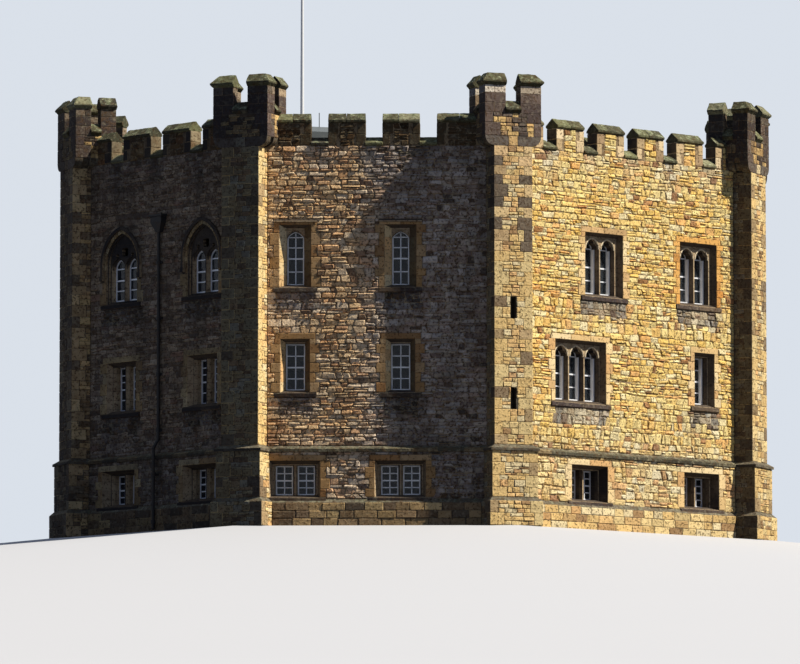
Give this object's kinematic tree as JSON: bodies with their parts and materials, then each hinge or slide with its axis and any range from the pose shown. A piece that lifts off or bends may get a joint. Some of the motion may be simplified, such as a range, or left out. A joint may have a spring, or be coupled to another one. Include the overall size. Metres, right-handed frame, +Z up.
{
  "type": "octagonal castle keep",
  "caption": "Irregular octagonal stone keep with corner buttresses, corbelled crenellated heads, traceried and mullioned windows, battlements and a flagpole.",
  "frame": {"origin": "centre of the plan at ground level", "axes": "+X to the right along the front face, -Y out of the front face, +Z up"},
  "size_m": [24.9648, 20.1648, 20.5],
  "materials": {
    "rubble_masonry": "rough coursed sandstone rubble",
    "dressed_stone": "dressed sandstone",
    "coping_stone": "lichened sandstone",
    "floor_timber": "planed boards",
    "roof_lead": "grey lead-covered roof, treated as stone",
    "window_paint": "white painted timber",
    "window_glass": "clear glass",
    "door_timber": "dark oiled timber",
    "pole_paint": "white gloss paint",
    "pipe_iron": "black paint",
    "hatch_paint": "grey paint"
  },
  "bodies": {
    "root": {"front_wall": "rubble_masonry", "front_right_wall": "rubble_masonry", "right_wall": "rubble_masonry", "back_right_wall": "rubble_masonry", "back_wall": "rubble_masonry", "back_left_wall": "rubble_masonry", "left_wall": "rubble_masonry", "front_left_wall": "rubble_masonry", "front_left_buttress": "dressed_stone", "front_right_buttress": "dressed_stone", "right_front_buttress": "dressed_stone", "right_back_buttress": "dressed_stone", "back_right_buttress": "dressed_stone", "back_left_buttress": "dressed_stone", "left_back_buttress": "dressed_stone", "left_front_buttress": "dressed_stone", "front_parapet": "rubble_masonry", "front_right_parapet": "rubble_masonry", "right_parapet": "rubble_masonry", "back_right_parapet": "rubble_masonry", "back_parapet": "rubble_masonry", "back_left_parapet": "rubble_masonry", "left_parapet": "rubble_masonry", "front_left_parapet": "rubble_masonry", "merlons": "rubble_masonry", "parapet_copings": "coping_stone", "head_merlons": "dressed_stone", "head_copings": "coping_stone", "plinth": "dressed_stone", "string_course": "dressed_stone", "ground_floor": "floor_timber", "first_floor": "floor_timber", "second_floor": "floor_timber", "roof_deck": "roof_lead", "lower_surrounds": "dressed_stone", "middle_surrounds": "dressed_stone", "upper_surrounds": "dressed_stone", "lower_sashes": "window_paint", "middle_sashes": "window_paint", "upper_sashes": "window_paint", "lower_glass": "window_glass", "middle_glass": "window_glass", "upper_glass": "window_glass", "back_door": "door_timber", "back_door_surround": "dressed_stone", "flagpole": "pole_paint", "rainwater_pipe": "pipe_iron", "roof_hatch": "hatch_paint"}
  },
  "joints": []
}
